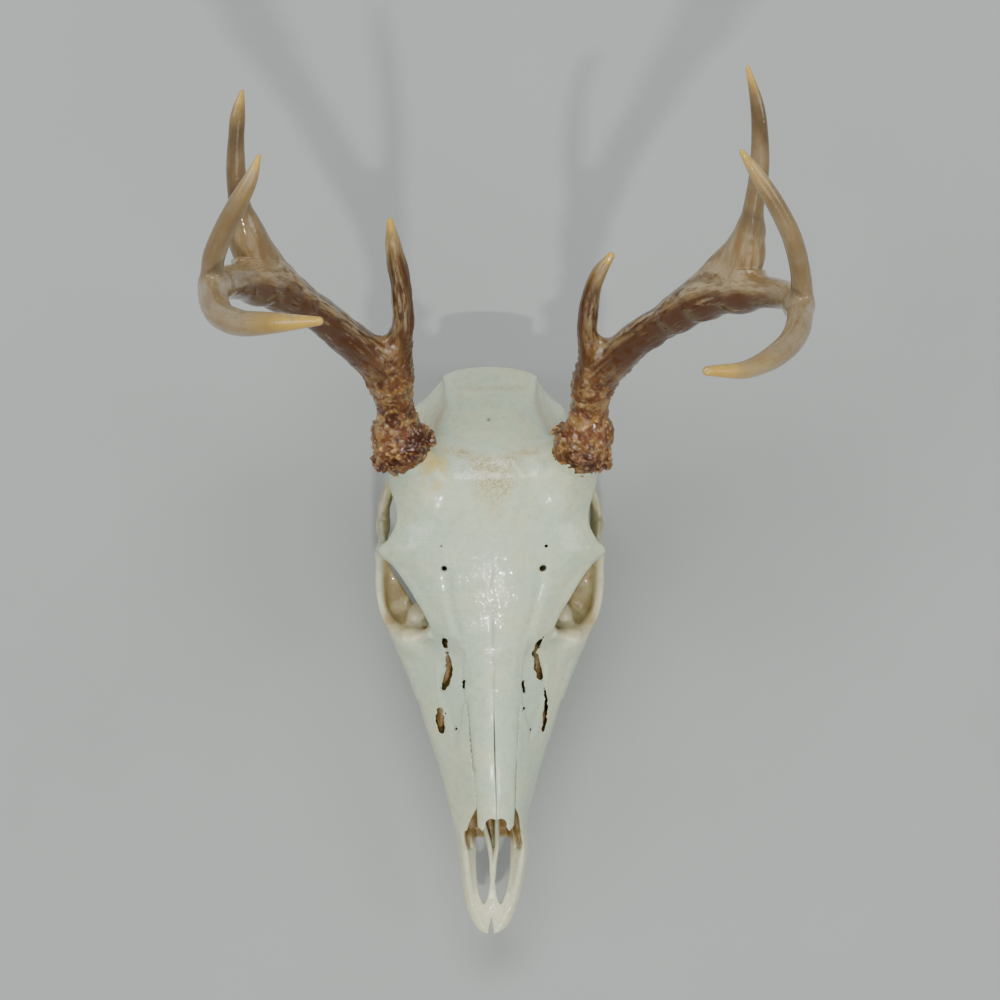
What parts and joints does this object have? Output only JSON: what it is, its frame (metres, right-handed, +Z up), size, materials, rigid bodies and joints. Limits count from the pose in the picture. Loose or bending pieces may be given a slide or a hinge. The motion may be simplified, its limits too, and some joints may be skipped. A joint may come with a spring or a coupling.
{
  "type": "deer skull",
  "caption": "White-tailed buck's skull without its lower jaw, with both antlers, lying as it rests.",
  "frame": {"origin": "under the middle of the whole object, on the surface that it rests on", "axes": "+Z up, nose towards -Y, back of the skull and tines towards +Y, the animal's left towards +X"},
  "size_m": [0.2578, 0.4028, 0.3634],
  "materials": {
    "bone": "bleached bone under clear varnish",
    "tooth": "enamel with worn brown dentine",
    "antler": "furrowed brown antler under clear varnish, paler towards the tips"
  },
  "bodies": {
    "root": {"nasal_left": "bone", "maxilla_left": "bone", "premaxilla_left": "bone", "zygomatic_left": "bone", "nasal_right": "bone", "maxilla_right": "bone", "premaxilla_right": "bone", "zygomatic_right": "bone", "frontal": "bone", "braincase": "bone", "occipital": "bone", "antler_base_left": "antler", "beam_middle_left": "antler", "beam_end_left": "antler", "brow_tine_left": "antler", "second_tine_left": "antler", "third_tine_left": "antler", "antler_base_right": "antler", "beam_middle_right": "antler", "beam_end_right": "antler", "brow_tine_right": "antler", "second_tine_right": "antler", "third_tine_right": "antler"}
  },
  "joints": []
}
